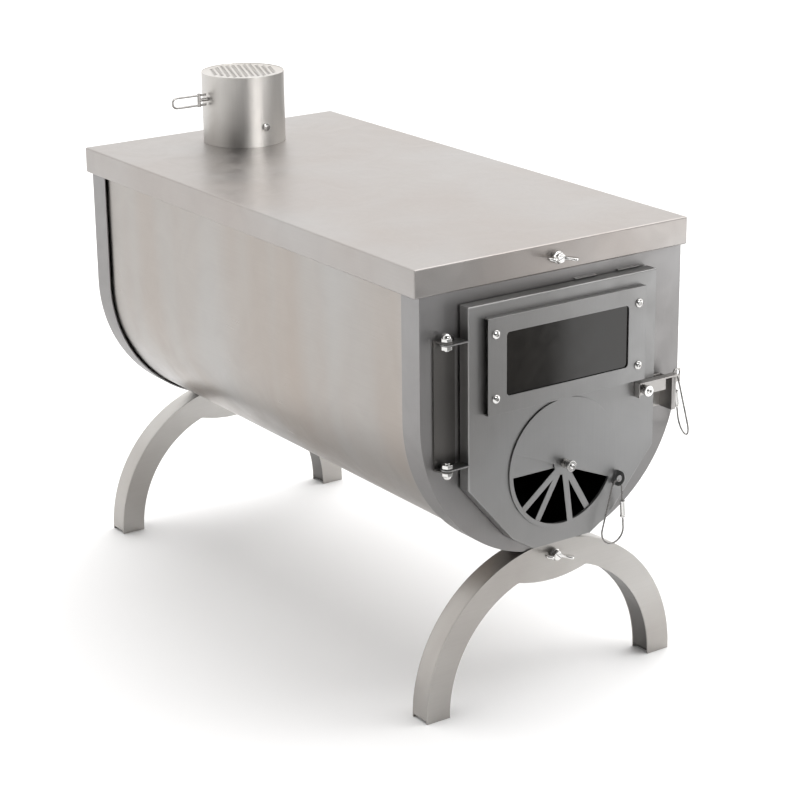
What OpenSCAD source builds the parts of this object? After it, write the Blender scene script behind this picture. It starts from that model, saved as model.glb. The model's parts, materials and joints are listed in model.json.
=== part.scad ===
// Tent wood stove: a long sheet-metal firebox on two arched legs, with a
// hinged door, a rotary air disc, a drop latch and a flue stub with a damper.
// Millimetres. X to the right seen from the door, Y from the door to the rear,
// Z up from the floor. The origin is the bottom centre of the overall box.

/* [Lid] */
// Width of the lid
lid_w = 220; // [210:1:232]
// Length of the lid
lid_l = 430; // [360:1:500]
// Height of the lid's skirt
lid_skirt_h = 18.7; // [17:0.1:22]
// Sheet thickness of the lid
lid_t = 1; // [0.6:0.1:1.2]

/* [Body] */
// Room between the lid's skirt and each side of the body
lid_side_gap = 3.2; // [1:0.1:6]
// Height of the body from its lowest line to the lid
body_h = 207.9; // [200:0.1:230]
// Sheet thickness of the end plates
plate_t = 1; // [0.6:0.1:1.4]
// Depth of the end plates' rims
rim_d = 19.5; // [14:0.1:26]
// Sheet thickness of the body's side
side_t = 0.6; // [0.4:0.1:1]
// Play between the rims and the side sheet
tuck_gap = 1.3; // [0.3:0.1:2]

/* [Legs] */
// How far the leg arches stand in from the end plates' sides
leg_inset = 2.8; // [0:0.1:8]
// Radial width of the leg arches
leg_band_w = 18.5; // [15:0.5:22]
// Front to back depth of a leg
leg_d = 16.5; // [12:0.5:22]
// Sheet thickness of the legs
leg_t = 1; // [0.6:0.1:1.4]
// Height of the arch centre above the floor
leg_rise = 2; // [1:0.5:6]
// How far the body sinks into the legs' crown
saddle_d = 5.4; // [3:0.1:8]
// Radius of the web round the leg bolt
leg_web_r = 100; // [90:1:120]
// Depth of that web below the arch's inner edge
leg_web_drop = 9; // [6:0.5:12]

/* [Door] */
// Width of the door
door_w = 152; // [146:1:156]
// Height of the door
door_h = 173; // [170:1:180]
// Depth of the door pan, from the end plate's face to the door's face
door_d = 10.7; // [9:0.1:13]
// Sheet thickness of the door
door_t = 1; // [0.6:0.1:1.4]
// Height of the door's upright sides
door_side_h = 121.5; // [118:0.5:126]
// Width of the door at its lower corners
door_knee_w = 80; // [70:1:90]
// Height of those corners above the door's lower edge
door_knee_h = 9.7; // [6:0.1:14]
// Width of the door's lower edge
door_foot_w = 48; // [30:1:56]

/* [Window] */
// Width of the window opening
window_w = 99; // [80:1:100]
// Height of the window opening
window_h = 42; // [34:1:44]
// Margin of the cover beside the opening
cover_side = 14.5; // [13:0.1:16]
// Margin of the cover above and below the opening
cover_edge = 11; // [9:0.1:11]
// Height of the cover's face above the door
cover_rise = 4.5; // [4:0.1:6]

/* [Air disc] */
// Radius of the air disc
disc_r = 44.5; // [42:0.1:44.5]
// Rim of the disc outside its openings
disc_rim = 3; // [2.5:0.1:5]
// Width of the spokes
spoke_w = 4.5; // [3:0.1:6]
// Radius of the hub
hub_r = 8; // [7:0.1:10]
// Turn of the disc from fully open, clockwise seen from the front
disc_turn = 22.3; // [0:0.1:150]

/* [Latch] */
// Distance of the latch bolt from the door's side
latch_in = 12; // [10:0.5:14]
// Length of the latch arm beyond its bolt
latch_reach = 34; // [32:0.5:36]
// Height of the latch arm's web
latch_h = 10.5; // [9:0.5:11]

/* [Flue] */
// Outer radius of the flue sleeve
flue_r = 31; // [26:0.5:36]
// Height of the flue sleeve above the lid
flue_h = 52.8; // [48:0.1:70]
// Sheet thickness of the flue parts
flue_t = 0.6; // [0.4:0.1:1]
// Distance of the flue's axis from the rear edge of the lid
flue_inset = 49.4; // [44:0.1:80]
// Length of the damper's wire handle
handle_l = 30; // [20:1:40]

/* [Rings] */
// Length of the pull rings
ring_l = 45; // [38:0.5:46]
// Width of the pull rings
ring_w = 19.4; // [14:0.1:20]

/* [Hidden] */
$fn = 64;

// One overrun for all cuts
cut = 1;
// Play between a piece and another body that moves past it
run_gap = 0.3;
// Radial play of a turning fit
turn_gap = 0.08;
// Radial play of a screw in its hole
screw_gap = 0.1;
// Radial play of a nut on its thread
thread_gap = 0.04;

// Heights from the floor up
body_r = lid_w / 2 - lid_t - lid_side_gap;
leg_r = body_r - leg_inset;
body_bottom_z = leg_rise + leg_r - saddle_d;
body_axis_z = body_bottom_z + body_r;
lid_under_z = body_bottom_z + body_h;
lid_top_z = lid_under_z + lid_t;
skirt_bottom_z = lid_top_z - lid_skirt_h;

// Depths, measured from the front face of the lid's skirt
plate_gap = 0.2;
plate_y = lid_t + plate_gap;
tuck_in = 6.3;
side_y0 = plate_y + plate_t + tuck_in - plate_gap;

// Fasteners: M4 wing bolts and M3 screws
bolt_r = 2;
bolt_nut_af = 7;
bolt_nut_h = 3.2;
screw_r = 1.5;
screw_nut_af = 5.5;
screw_nut_h = 2.4;
thread_out = 1;
wing_hub_r = 4.2;
wing_hub_l = 6;
wing_reach = 12;
wing_tip_r = 3.4;
wing_t = 1.8;
wing_rise = 7.4;
lid_bolt_drop = 9.2;
lid_bolt_z = lid_top_z - lid_bolt_drop;
leg_bolt_drop = 3.6;
leg_bolt_z = body_bottom_z - leg_bolt_drop;
lid_wing_turn = 8;
leg_wing_turn = 14;

// Tab under each end plate that the leg is bolted to, and the notch in the rim
tab_w = 18;
tab_drop = 11.6;
notch_play = 1;

// Legs
leg_face_y = plate_y - leg_t;
saddle_play = 0.05;
strip_lift = 3;
toe_l = 5;
leg_web_fillet = 20;
// How far the web's round corners start inside the sheet, and how far they cut in
fillet_root = 2;
fillet_bite = 0.15;

// Door outline, from the top of the door down
door_top_gap = 8.8;
door_top_z = skirt_bottom_z - door_top_gap;
door_bottom_z = door_top_z - door_h;
door_face_y = plate_y - door_d;
door_back_play = 1.3;
door_back_y = plate_y - door_back_play;
fire_margin = 9;

// Lugs above the door
lug_lift = 0.6;
lug_t = 0.8;
lug_out = 1.9;
lug_w = 17.5;
lug_xs = [15.5, 51];

// Hinge
hinge_t = 1;
hinge_out = 14;
hinge_x = -door_w / 2 - hinge_out;
hinge_pivot_out = 6.7;
hinge_pivot_y = plate_y - hinge_pivot_out;
hinge_web_out = 6;
hinge_web_in = 10.5;
hinge_web_x0 = hinge_x - hinge_web_out;
hinge_web_x1 = hinge_x + hinge_web_in;
hinge_top_drop = 20;
hinge_top_z = door_top_z - hinge_top_drop;
hinge_h = 86;
hinge_bottom_z = hinge_top_z - hinge_h;
hinge_bolt_r = 1.75;
hinge_eye_r = 4.4;
hinge_nut_af = 6.6;
hinge_nut_h = 2.6;
acorn_base_h = 2.4;
acorn_dome_r = 3.1;

// Window
window_corner_r = 2.5;
window_drop = 40.5;
window_z = door_top_z - window_drop;
cover_t = 0.8;
cover_w = window_w + 2 * cover_side;
cover_h = window_h + 2 * cover_edge;
glass_gap = 0.3;
glass_t = cover_rise - cover_t - 2 * glass_gap;
glass_side_in = 9.5;
screw_in = 6;
window_screw_x = cover_w / 2 - screw_in;
window_screw_z = window_h / 2 + 0.25 * cover_t;
button_r = 3;
button_h = 1.9;
button_socket_r = 1;
button_socket_h = 1.1;

// Air disc, turned on its bolt
air_lift = 55;
air_z = door_bottom_z + air_lift;
disc_t = 0.8;
disc_y1 = door_face_y - run_gap;
disc_y0 = disc_y1 - disc_t;
air_r = disc_r - disc_rim;
disc_open_turn = 180 - disc_turn;
ear_w = 10;
ear_out = 3.3;
ear_l = 9.6;
ear_angle = -1.7 - disc_turn;
ear_hole_r = 2.3;
ear_hole_y = disc_y0 - ear_l + ear_w / 2;

// Sprung bolts of the disc and the latch
pivot_r = 1.75;
pivot_head_r = 3.6;
pivot_head_h = 2;
pivot_reach = 10.5;
pivot_end_y = door_face_y - pivot_reach;
pivot_nut_h = 3.2;
pivot_nut_r = 3.7;
pivot_nut_waist = 0.5;
spring_wire_r = 0.34;
spring_r = 2.75;
spring_curls = 3.5;
spring_rings = 8;
spring_sides = 6;
pivot_nut_y = pivot_end_y + thread_out + pivot_nut_h;

// Latch
latch_t = 1;
latch_x = door_w / 2 - latch_in;
latch_drop = 79.5;
latch_z = door_top_z - latch_drop;
latch_back_y = door_face_y - run_gap;
latch_y = latch_back_y - latch_t;
latch_tail = 5;
latch_lip = 5;
latch_tail_lip = 4;
latch_eye_r = 2.3;
latch_tip_w = 6;
latch_tip_rise = 2.3;
latch_tip_lift = 3.5;
latch_notch_w = 6.6;
latch_notch_h = 8;
keeper_t = 1;
keeper_w = 8;
keeper_h = 22.5;
keeper_lip = 2.6;
keeper_play = 0.4;
keeper_x = latch_x + latch_reach - latch_tip_w - 1.4 * keeper_t;
keeper_top_z = latch_z - latch_h / 2 + latch_notch_h - keeper_play;
keeper_y = latch_y - run_gap - keeper_t;

// Rings
ring_wire_r = 0.6;
ring_top_r = 4;
ring_sides = 8;
ring_arc_steps = 12;
barrel_r = 1.6;
barrel_l = 11.7;
barrel_share = 0.47;
barrel_cap_r = 1.9;
barrel_cap_l = 1.2;
ring_low_r = ring_w / 2 - ring_wire_r;
ring_axis_l = ring_l - 2 * ring_wire_r - ring_top_r - ring_low_r;
ring_lean = asin((ring_low_r - ring_top_r) / ring_axis_l);
ear_seat = ear_hole_r - ring_wire_r - run_gap;
eye_seat_share = 0.35;
eye_seat = eye_seat_share * (latch_eye_r - ring_wire_r - run_gap);
disc_ring_tilt = 5.8;
latch_ring_turn = 70;
latch_ring_tilt = -10;

// Flue
flue_y = lid_l - flue_inset;
collar_play = 0.15;
collar_r = flue_r - flue_t - collar_play;
collar_h = 21;
collar_flange_w = 3;
seat_play = 0.05;
screen_t = 0.5;
screen_sink = 0.3;
screen_margin = 3.2;
slot_l = 4.2;
slot_w = 1.3;
slot_step = 6.4;
slot_row = 3;
slot_turn = 24;
flue_screw_rise = 15;
flue_screw_z = lid_top_z + flue_screw_rise;
flue_screw_head_r = 2.9;
flue_screw_head_h = 2.2;
flue_screw_in = 3;

// Damper
damper_drop = 18;
damper_z = lid_top_z + flue_h - damper_drop;
spindle_r = 1.25;
damper_t = 0.8;
damper_play = 1.6;
damper_half_h = 16;
damper_eye_r = 2.1;
damper_eye_l = 40;
handle_wire_r = 0.8;
handle_half_h = 3.75;
handle_gap = 1.4;
handle_bar_r = 1.3;
handle_bar_out = 7.5;

// The overall box runs from the latch ring to the rear wing bolts
latch_ring_reach = latch_t / 2 - latch_back_y + (ring_low_r + ring_wire_r) * sin(latch_ring_turn)
    - ring_axis_l * sin(latch_ring_tilt) * cos(latch_ring_turn);
front_reach = max(-pivot_end_y, latch_ring_reach);
rear_reach = wing_rise + wing_tip_r;
front_y = -(lid_l + rear_reach - front_reach) / 2;

// What lies at the front is placed from the lid's front face
module front() {
    translate([0, front_y, 0]) children();
}

// What lies at the rear is the mirror image of a front piece
module rear() {
    translate([0, front_y + lid_l, 0]) mirror([0, 1, 0]) children();
}

// A flat sheet standing across Y, drawn as X and Z
module sheet(y, t) {
    translate([0, y + t, 0]) rotate([90, 0, 0]) linear_extrude(height = t) children();
}

// A round bar along +Y
module bar(r, y0, y1) {
    translate([0, y0, 0]) rotate([-90, 0, 0]) cylinder(r = r, h = y1 - y0);
}

// A tube along +Y that goes on a bolt
module nut(af, bore_r, y0, h) {
    difference() {
        translate([0, y0, 0]) rotate([-90, 0, 0]) rotate(30)
            cylinder(r = af / 2 / cos(30), h = h, $fn = 6);
        bar(bore_r, y0 - cut, y0 + h + cut);
    }
}

function left_of(v) = [-v[1], v[0]] / norm(v);

// Points of a convex outline, drawn inward by d
function drawn_in(p, d) = [
    for (i = [0 : len(p) - 1])
        let (
            a = p[(i + len(p) - 1) % len(p)],
            b = p[i],
            c = p[(i + 1) % len(p)],
            n1 = left_of(b - a),
            n2 = left_of(c - b)
        )
        b + d * (n1 + n2) / (1 + n1 * n2)
];

// A rectangle with round corners
module round_rect(w, h, r) {
    square([w - 2 * r, h], center = true);
    square([w, h - 2 * r], center = true);
    for (sx = [-1, 1], sz = [-1, 1])
        translate([sx * (w / 2 - r), sz * (h / 2 - r)]) circle(r);
}

// The lid, open below, with a flue hole and a bolt hole at each end
module lid() {
    color([0.80, 0.78, 0.76])
    difference() {
        front() translate([-lid_w / 2, 0, skirt_bottom_z]) cube([lid_w, lid_l, lid_skirt_h]);
        front() translate([-lid_w / 2 + lid_t, lid_t, skirt_bottom_z - cut])
            cube([lid_w - 2 * lid_t, lid_l - 2 * lid_t, lid_skirt_h - lid_t + cut]);
        front() translate([0, flue_y, lid_under_z - cut])
            cylinder(r = collar_r + seat_play, h = lid_t + 2 * cut);
        front() translate([0, 0, lid_bolt_z]) bar(bolt_r + screw_gap, -cut, lid_t + cut);
        rear() translate([0, 0, lid_bolt_z]) bar(bolt_r + screw_gap, -cut, lid_t + cut);
    }
}

// The U outline of the body, drawn inward by d
module body_outline(d) {
    r = body_r - d;
    intersection() {
        translate([0, body_axis_z]) circle(r, $fn = 128);
        translate([-2 * r, body_axis_z - 2 * r]) square([4 * r, 2 * r]);
    }
    translate([-r, body_axis_z]) square([2 * r, lid_under_z - body_axis_z]);
}

// Outline of the door, anticlockwise
function door_points() = [
    [-door_foot_w / 2, door_bottom_z],
    [door_foot_w / 2, door_bottom_z],
    [door_knee_w / 2, door_bottom_z + door_knee_h],
    [door_w / 2, door_top_z - door_side_h],
    [door_w / 2, door_top_z],
    [-door_w / 2, door_top_z],
    [-door_w / 2, door_top_z - door_side_h],
    [-door_knee_w / 2, door_bottom_z + door_knee_h]
];

// An end plate: a U pan with a rim, a tab for the leg and a notch above the tab
module end_plate() {
    difference() {
        union() {
            difference() {
                sheet(plate_y, rim_d) body_outline(0);
                sheet(plate_y + plate_t, rim_d) body_outline(plate_t);
                translate([-tab_w / 2 - notch_play, plate_y + plate_t, body_bottom_z - cut])
                    cube([tab_w + 2 * notch_play, rim_d, plate_t + 2 * cut]);
            }
            translate([-tab_w / 2, plate_y, body_bottom_z - tab_drop])
                cube([tab_w, plate_t, tab_drop + 2 * plate_t]);
        }
        for (z = [lid_bolt_z, leg_bolt_z])
            translate([0, 0, z]) bar(bolt_r + screw_gap, plate_y - cut, plate_y + plate_t + cut);
    }
}

module front_plate() {
    color([0.66, 0.66, 0.66])
    front() {
        difference() {
            end_plate();
            sheet(plate_y - cut, plate_t + 2 * cut) polygon(drawn_in(door_points(), fire_margin));
        }
        for (x = lug_xs)
            translate([x, plate_y - lug_out, door_top_z + lug_lift])
                cube([lug_w, lug_out, lug_t]);
    }
}

module rear_plate() {
    color([0.66, 0.66, 0.66]) rear() end_plate();
}

// The thin sheet that is rolled to a U and tucked inside both rims
module side_sheet() {
    outer = plate_t + tuck_gap;
    color([0.74, 0.72, 0.70])
    front() difference() {
        sheet(side_y0, lid_l - 2 * side_y0) body_outline(outer);
        sheet(side_y0 - cut, lid_l - 2 * side_y0 + 2 * cut) body_outline(outer + side_t);
    }
}

// An arch of radius r that stands on the floor
module arch(r) {
    intersection() {
        translate([0, leg_rise]) circle(r, $fn = 128);
        translate([-2 * r, leg_rise]) square([4 * r, 2 * r]);
    }
    translate([-r, 0]) square([2 * r, leg_rise]);
}

// The band between two arches, ending at height z0
module half_ring(r0, r1, z0) {
    difference() {
        arch(r1);
        arch(r0);
        translate([-2 * r1, -cut]) square([4 * r1, z0 + cut]);
    }
}

// The web that hangs inside the arch round the leg bolt, with round inner corners
module leg_web() {
    r_in = leg_r - leg_band_w;
    web_z = leg_rise + r_in - leg_web_drop + leg_web_r;
    a = r_in - leg_web_fillet;
    b = leg_web_r + leg_web_fillet;
    c = web_z - leg_rise;
    turn = acos((a * a + c * c - b * b) / (2 * a * c));
    f = [a * sin(turn), leg_rise + a * cos(turn)];
    to_web = (f - [0, web_z]) / b;
    t1 = [0, web_z] + (leg_web_r - fillet_root) * to_web;
    t2 = [0, leg_rise] + (r_in + fillet_root) * [sin(turn), cos(turn)];
    intersection() {
        translate([0, web_z]) circle(leg_web_r, $fn = 128);
        translate([0, leg_rise]) circle(r_in + leg_band_w / 2, $fn = 128);
    }
    for (s = [0, 1])
        mirror([s, 0]) difference() {
            polygon([t1, t2, [f[0], leg_rise + r_in + leg_band_w / 4]]);
            translate(f) circle(leg_web_fillet + fillet_bite);
        }
}

module leg_outline() {
    half_ring(leg_r - leg_band_w, leg_r, 0);
    leg_web();
}

// The body's round bottom, taken out of what it rests on
module saddle() {
    translate([0, 0, body_axis_z])
        rotate([-90, 0, 0]) cylinder(r = body_r + saddle_play, h = 4 * leg_d, $fn = 128);
}

module leg_face() {
    difference() {
        sheet(leg_face_y, leg_t) leg_outline();
        translate([0, 0, leg_bolt_z])
            bar(bolt_r + screw_gap, leg_face_y - cut, leg_face_y + leg_t + cut);
    }
}

module leg_back() {
    difference() {
        sheet(leg_face_y + leg_d - leg_t, leg_t) leg_outline();
        saddle();
    }
}

// A strip between face and back, with a toe bent into the foot
module leg_strip(r0, toe_in) {
    y0 = leg_face_y + leg_t;
    t = leg_d - 2 * leg_t;
    difference() {
        union() {
            sheet(y0, t) half_ring(r0, r0 + leg_t, strip_lift);
            for (s = [0, 1])
                mirror([s, 0, 0]) translate([r0 + min(toe_in, 0), y0, strip_lift - leg_t])
                    cube([leg_t + toe_l, t, leg_t]);
            for (s = [0, 1])
                mirror([s, 0, 0]) translate([r0, y0, strip_lift - leg_t])
                    cube([leg_t, t, 2 * leg_t]);
        }
        saddle();
    }
}

module leg_outer_strip() {
    leg_strip(leg_r - leg_t, -toe_l);
}

module leg_inner_strip() {
    leg_strip(leg_r - leg_band_w, 0);
}

module front_leg_face() {
    color([0.72, 0.71, 0.70]) front() leg_face();
}

module front_leg_back() {
    color([0.6, 0.6, 0.6]) front() leg_back();
}

module front_leg_outer_strip() {
    color([0.78, 0.77, 0.76]) front() leg_outer_strip();
}

module front_leg_inner_strip() {
    color([0.5, 0.5, 0.5]) front() leg_inner_strip();
}

module rear_leg_face() {
    color([0.72, 0.71, 0.70]) rear() leg_face();
}

module rear_leg_back() {
    color([0.6, 0.6, 0.6]) rear() leg_back();
}

module rear_leg_outer_strip() {
    color([0.78, 0.77, 0.76]) rear() leg_outer_strip();
}

module rear_leg_inner_strip() {
    color([0.5, 0.5, 0.5]) rear() leg_inner_strip();
}

// A wing bolt whose hub bears on the face at y = 0
module wing_bolt(shank_l, turn) {
    rotate([0, turn, 0]) {
        bar(wing_hub_r, -wing_hub_l / 2, 0);
        bar(wing_hub_r - wing_t / 2, -wing_hub_l, -wing_hub_l / 2);
        bar(bolt_r, -wing_hub_l / 2, shank_l);
        for (s = [0, 1])
            mirror([s, 0, 0]) translate([0, 0, -wing_t / 2]) linear_extrude(height = wing_t) {
                translate([wing_reach - wing_tip_r, -wing_rise]) circle(wing_tip_r);
                polygon([
                    [wing_hub_r / 2, -wing_hub_l / 4],
                    [wing_hub_r / 2, -wing_hub_l],
                    [wing_reach - wing_tip_r, -wing_rise - wing_tip_r],
                    [wing_reach, -wing_rise],
                    [wing_reach - wing_tip_r / 2, -wing_rise + wing_tip_r]
                ]);
            }
    }
}

// Wing bolts, one on each skirt of the lid
module lid_wing_bolts() {
    shank = plate_y + plate_t + bolt_nut_h + thread_out;
    color([0.85, 0.85, 0.86]) {
        front() translate([0, 0, lid_bolt_z]) wing_bolt(shank, lid_wing_turn);
        rear() translate([0, 0, lid_bolt_z]) wing_bolt(shank, lid_wing_turn);
    }
}

// Wing bolts, one on each leg
module leg_wing_bolts() {
    shank = leg_t + plate_t + bolt_nut_h + thread_out;
    color([0.85, 0.85, 0.86]) {
        front() translate([0, leg_face_y, leg_bolt_z]) wing_bolt(shank, leg_wing_turn);
        rear() translate([0, leg_face_y, leg_bolt_z]) wing_bolt(shank, leg_wing_turn);
    }
}

// The nuts behind the end plates
module plate_nuts(z) {
    front() translate([0, 0, z])
        nut(bolt_nut_af, bolt_r + thread_gap, plate_y + plate_t, bolt_nut_h);
    rear() translate([0, 0, z])
        nut(bolt_nut_af, bolt_r + thread_gap, plate_y + plate_t, bolt_nut_h);
}

module lid_bolt_nuts() {
    color([0.8, 0.8, 0.8]) plate_nuts(lid_bolt_z);
}

module leg_bolt_nuts() {
    color([0.8, 0.8, 0.8]) plate_nuts(leg_bolt_z);
}

// A flat ear round an upright pivot, wide at its root line and round at the eye
module ear(root, eye_r, z, t, bore_r) {
    translate([0, 0, z]) difference() {
        union() {
            translate([hinge_x, hinge_pivot_y, 0]) cylinder(r = eye_r, h = t);
            linear_extrude(height = t) polygon(root);
        }
        translate([hinge_x, hinge_pivot_y, -cut]) cylinder(r = bore_r, h = t + 2 * cut);
    }
}

// The hinge bracket: a web on the end plate with an ear at each end
module hinge_bracket() {
    web_y = plate_y - hinge_t;
    root = [
        [hinge_web_x0, plate_y],
        [hinge_x - hinge_eye_r, hinge_pivot_y],
        [hinge_x + hinge_eye_r, hinge_pivot_y],
        [hinge_web_x1, web_y],
        [hinge_web_x1, plate_y]
    ];
    color([0.45, 0.45, 0.46])
    front() {
        translate([hinge_web_x0, web_y, hinge_bottom_z])
            cube([hinge_web_x1 - hinge_web_x0, hinge_t, hinge_h]);
        ear(root, hinge_eye_r, hinge_top_z - hinge_t, hinge_t, hinge_bolt_r + screw_gap);
        ear(root, hinge_eye_r, hinge_bottom_z, hinge_t, hinge_bolt_r + screw_gap);
    }
}

// Stack of an upright hinge bolt, counted from the bracket's outer face inward
hinge_stack = 2 * hinge_t + 2 * run_gap + hinge_nut_h + thread_out;

// Places a hinge fastener at the top, and its mirror image at the bottom
module hinge_ends() {
    front() translate([hinge_x, hinge_pivot_y, hinge_top_z]) children();
    front() translate([hinge_x, hinge_pivot_y, hinge_bottom_z]) mirror([0, 0, 1]) children();
}

module hinge_bolts() {
    color([0.85, 0.85, 0.86]) hinge_ends()
        translate([0, 0, -hinge_stack])
            cylinder(r = hinge_bolt_r, h = hinge_stack + acorn_base_h);
}

module hinge_acorn_nuts() {
    color([0.9, 0.9, 0.9]) hinge_ends() difference() {
        union() {
            cylinder(r = hinge_nut_af / 2 / cos(30), h = acorn_base_h, $fn = 6);
            translate([0, 0, acorn_base_h]) intersection() {
                sphere(r = acorn_dome_r);
                cylinder(r = acorn_dome_r, h = acorn_dome_r);
            }
        }
        translate([0, 0, -cut])
            cylinder(r = hinge_bolt_r + thread_gap, h = acorn_base_h + cut + thread_gap);
    }
}

module hinge_lock_nuts() {
    z1 = -hinge_t - run_gap - door_t - run_gap;
    color([0.8, 0.8, 0.8]) hinge_ends() translate([0, 0, z1 - hinge_nut_h]) difference() {
        cylinder(r = hinge_nut_af / 2 / cos(30), h = hinge_nut_h, $fn = 6);
        translate([0, 0, -cut])
            cylinder(r = hinge_bolt_r + thread_gap, h = hinge_nut_h + 2 * cut);
    }
}

// Three openings in a half ring, less their spokes, the first edge at angle a
module air_openings(a) {
    difference() {
        circle(air_r, $fn = 128);
        circle(hub_r);
        rotate(a) translate([-2 * air_r, -4 * air_r]) square([4 * air_r, 4 * air_r]);
        for (i = [0 : 3])
            rotate(a + i * 60) translate([0, -spoke_w / 2]) square([2 * air_r, spoke_w]);
    }
}

// The door: a shallow pan open to the rear, with hinge ears on its left side
module door_pan() {
    ear_y0 = door_face_y + door_t;
    wall_x = -door_w / 2;
    root = [
        [hinge_x - hinge_eye_r, hinge_pivot_y],
        [hinge_x, hinge_pivot_y - hinge_eye_r],
        [wall_x, ear_y0 - door_t],
        [wall_x + door_t / 2, ear_y0 - door_t / 2],
        [wall_x + door_t / 2, door_back_y],
        [wall_x, door_back_y],
        [hinge_x, hinge_pivot_y + hinge_eye_r]
    ];
    ear_z = [hinge_top_z - hinge_t - run_gap - door_t, hinge_bottom_z + hinge_t + run_gap];
    color([0.68, 0.68, 0.68])
    front() {
        difference() {
            sheet(door_face_y, door_back_y - door_face_y) polygon(door_points());
            sheet(door_face_y + door_t, door_back_y - door_face_y)
                polygon(drawn_in(door_points(), door_t));
            translate([0, 0, air_z]) {
                sheet(door_face_y - cut, door_t + 2 * cut) air_openings(180);
                bar(pivot_r + screw_gap, door_face_y - cut, door_face_y + door_t + cut);
            }
            translate([latch_x, 0, latch_z])
                bar(pivot_r + screw_gap, door_face_y - cut, door_face_y + door_t + cut);
            translate([0, 0, window_z]) {
                sheet(door_face_y - cut, door_t + 2 * cut)
                    round_rect(window_w, window_h, window_corner_r);
                window_corners()
                    bar(screw_r + screw_gap, door_face_y - cut, door_face_y + door_t + cut);
            }
        }
        for (z = ear_z)
            ear(root, hinge_eye_r, z, door_t, hinge_bolt_r + turn_gap);
    }
}

// The places of the four cover screws round the window's middle
module window_corners() {
    for (sx = [-1, 1], sz = [-1, 1])
        translate([sx * window_screw_x, 0, sz * window_screw_z]) children();
}

// The cover over the glass, its upper and lower edges bent back to the door
module window_cover() {
    y0 = door_face_y - cover_rise;
    color([0.7, 0.7, 0.7])
    front() translate([0, 0, window_z]) {
        difference() {
            translate([-cover_w / 2, y0, -cover_h / 2]) cube([cover_w, cover_t, cover_h]);
            sheet(y0 - cut, cover_t + 2 * cut) round_rect(window_w, window_h, window_corner_r);
            window_corners() bar(screw_r + screw_gap, y0 - cut, y0 + cover_t + cut);
        }
        for (s = [0, 1])
            mirror([0, 0, s]) translate([-cover_w / 2, y0, cover_h / 2 - cover_t])
                cube([cover_w, cover_rise, cover_t]);
    }
}

module window_glass() {
    h = cover_h - 2 * cover_t - 2 * glass_gap;
    w = cover_w - 2 * glass_side_in;
    color([0.1, 0.1, 0.11])
    front() translate([-w / 2, door_face_y - glass_gap - glass_t, window_z - h / 2])
        cube([w, glass_t, h]);
}

// Button screws through the cover and the door
module window_screws() {
    y0 = door_face_y - cover_rise;
    color([0.85, 0.85, 0.86])
    front() translate([0, 0, window_z]) window_corners() difference() {
        union() {
            translate([0, y0, 0]) rotate([90, 0, 0]) intersection() {
                translate([0, 0, button_h - button_r * 1.5])
                    sphere(r = button_r * 1.5);
                cylinder(r = button_r, h = button_h);
            }
            bar(screw_r, y0 - button_h / 4, door_face_y + door_t + screw_nut_h + thread_out);
        }
        translate([0, y0 - button_h - cut, 0]) rotate([-90, 0, 0])
            cylinder(r = button_socket_r, h = button_socket_h + cut, $fn = 6);
    }
}

module window_nuts() {
    color([0.8, 0.8, 0.8])
    front() translate([0, 0, window_z]) window_corners()
        nut(screw_nut_af, screw_r + thread_gap, door_face_y + door_t, screw_nut_h);
}

// The air disc, with an ear bent forward at its rim for the pull ring
module air_disc() {
    ear_y = disc_y0 - ear_l + ear_w / 2;
    color([0.7, 0.7, 0.7])
    front() translate([0, 0, air_z]) difference() {
        union() {
            sheet(disc_y0, disc_t) {
                circle(disc_r, $fn = 128);
                rotate(ear_angle) translate([air_r + disc_rim / 2, -ear_w / 2])
                    square([disc_rim / 2 + ear_out, ear_w]);
            }
            rotate([0, -ear_angle, 0]) translate([disc_r + ear_out - disc_t, 0, 0]) {
                translate([0, ear_y, -ear_w / 2]) cube([disc_t, disc_y1 - ear_y, ear_w]);
                translate([0, ear_y, 0]) rotate([0, 90, 0]) cylinder(r = ear_w / 2, h = disc_t);
            }
        }
        sheet(disc_y0 - cut, disc_t + 2 * cut) air_openings(disc_open_turn);
        bar(pivot_r + turn_gap, disc_y0 - cut, disc_y1 + cut);
        rotate([0, -ear_angle, 0]) translate([disc_r + ear_out - disc_t - cut, ear_y, 0])
            rotate([0, 90, 0]) cylinder(r = ear_hole_r, h = disc_t + 2 * cut);
    }
}

// A bolt with its round head inside the door and its thread out in front
module pivot_bolt() {
    color([0.85, 0.85, 0.86]) {
        bar(pivot_head_r, door_face_y + door_t, door_face_y + door_t + pivot_head_h);
        bar(pivot_r, pivot_end_y, door_face_y + door_t + pivot_head_h / 2);
    }
}

// A nut with a hex base towards the spring and a round collar in front
module pivot_nut() {
    hex_h = pivot_nut_h * pivot_nut_waist;
    color([0.82, 0.82, 0.82]) difference() {
        union() {
            translate([0, pivot_nut_y - hex_h, 0]) rotate([-90, 0, 0])
                cylinder(r = pivot_nut_r, h = hex_h, $fn = 6);
            bar(pivot_nut_r, pivot_nut_y - pivot_nut_h, pivot_nut_y - hex_h);
        }
        bar(pivot_r + thread_gap, pivot_nut_y - pivot_nut_h - cut, pivot_nut_y + cut);
    }
}

// Centre line of a spring from y0 to y1, with a curl's rings each
function coil_path(y0, y1) = [
    for (i = [0 : spring_curls * spring_rings])
        let (a = i * 360 / spring_rings, share = i / (spring_curls * spring_rings))
        [spring_r * cos(a), y0 + (y1 - y0) * share, spring_r * sin(a)]
];

function unit(v) = v / norm(v);

// Direction of a path at point i, closed paths run on past their ends
function along(p, i, closed) =
    let (n = len(p))
    closed ? unit(p[(i + 1) % n] - p[(i + n - 1) % n])
           : unit(p[min(i + 1, n - 1)] - p[max(i - 1, 0)]);

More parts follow.
